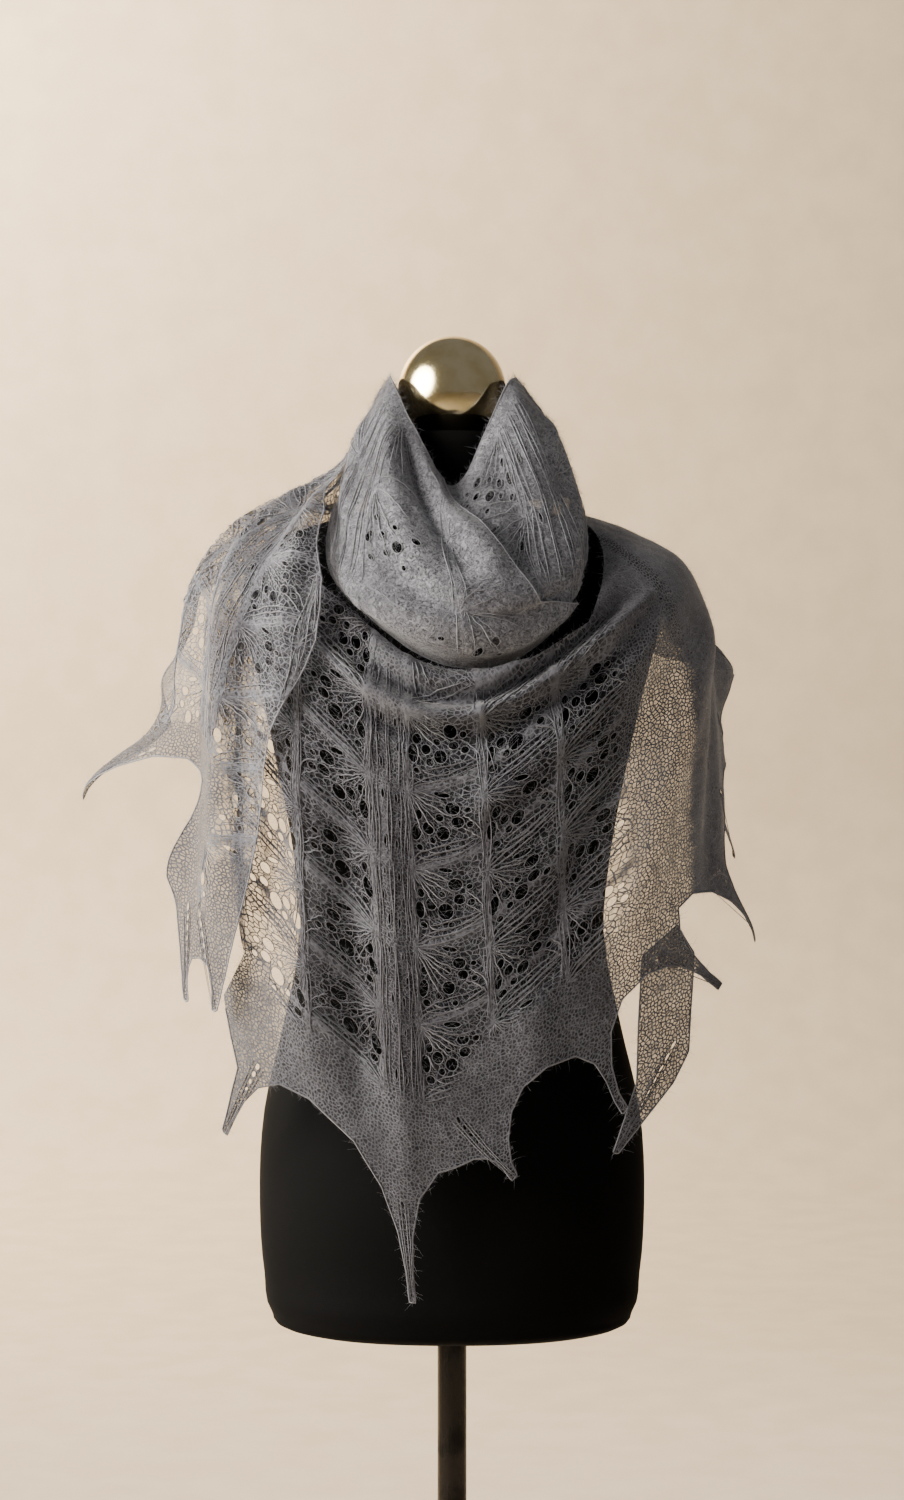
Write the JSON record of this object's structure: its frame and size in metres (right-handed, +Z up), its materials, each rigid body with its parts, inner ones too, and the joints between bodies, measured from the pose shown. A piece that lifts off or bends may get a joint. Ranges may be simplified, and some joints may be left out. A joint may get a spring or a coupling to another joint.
{
  "type": "lace shawl on a dress form",
  "caption": "Hand-knitted lace shawl with a long pointed edging, wound into a cowl and worn point to the front on a limbless dress form with a ball finial.",
  "frame": {"origin": "on the floor at the centre of the base plate's underside, on the pole's axis", "axes": "+Z up the pole, -Y the way the form's front faces, +X to the right of someone looking at the front"},
  "size_m": [0.5811, 0.3292, 1.6495],
  "materials": {
    "mohair_lace": "soft brushed mohair yarn, matte with a pale halo",
    "black_jersey": "plain black stretch cover, matte",
    "gold_ball": "polished pale gold",
    "polished_steel": "polished steel, lightly brushed"
  },
  "bodies": {
    "root": {"front_fall": "mohair_lace", "left_wing": "mohair_lace", "back_drape": "mohair_lace", "tail": "mohair_lace", "cowl_left": "mohair_lace", "cowl_right": "mohair_lace", "torso": "black_jersey", "ball_finial": "gold_ball", "pole": "polished_steel", "pole_collar": "polished_steel", "base_plate": "polished_steel"}
  },
  "joints": []
}
